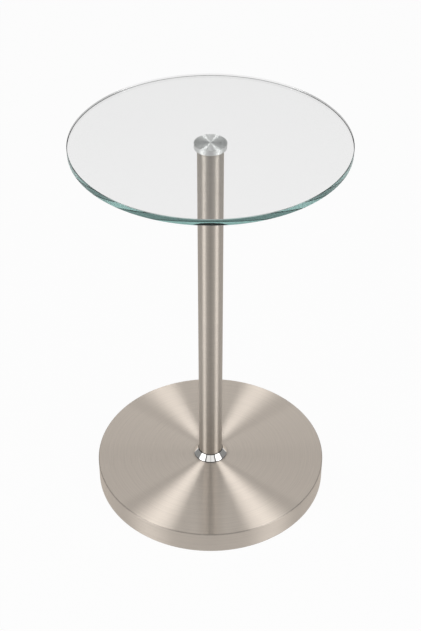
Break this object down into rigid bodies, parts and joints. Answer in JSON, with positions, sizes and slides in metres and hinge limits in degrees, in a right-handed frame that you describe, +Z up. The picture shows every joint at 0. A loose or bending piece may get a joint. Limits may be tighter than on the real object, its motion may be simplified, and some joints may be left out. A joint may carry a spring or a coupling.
{
  "type": "serving table",
  "caption": "Round clear glass serving table on a brushed steel pole with a chrome foot collar and a round weighted steel base.",
  "frame": {"origin": "on the floor under the centre of the table, at the underside of the floor pads", "axes": "+Z up along the pole, +X to the right and +Y away from the viewer of the picture"},
  "size_m": [0.3999, 0.4, 0.637],
  "materials": {
    "clear_glass": "clear, polished edge with a sea-green tint",
    "clear_adhesive": "clear cured film",
    "spun_aluminium": "turned, fine concentric lines",
    "plated_steel": "zinc plated",
    "plain_steel": "turned, uncoated",
    "brushed_pole": "stainless, brushed",
    "polished_chrome": "mirror polished",
    "black_rubber": "matte",
    "brushed_cover": "stainless, circular brushed top",
    "cast_concrete": "rough cast",
    "black_sheet": "satin black paint",
    "floor_rubber": "matte"
  },
  "bodies": {
    "root": {"glass_top": "clear_glass", "bond_film": "clear_adhesive", "glass_adapter": "spun_aluminium", "top_stud": "plated_steel", "pole_top_insert": "plain_steel", "pole_foot_insert": "plain_steel", "pole_tube": "brushed_pole", "base_collar": "polished_chrome", "collar_gasket": "black_rubber", "base_cover": "brushed_cover", "base_weight": "cast_concrete", "weight_sleeve": "plain_steel", "base_plate": "black_sheet", "clamp_washer": "plated_steel", "spring_washer": "plated_steel", "clamp_bolt": "plated_steel", "floor_pad_1": "floor_rubber", "floor_pad_2": "floor_rubber", "floor_pad_3": "floor_rubber", "floor_pad_4": "floor_rubber", "floor_pad_5": "floor_rubber", "floor_pad_6": "floor_rubber"}
  },
  "joints": []
}
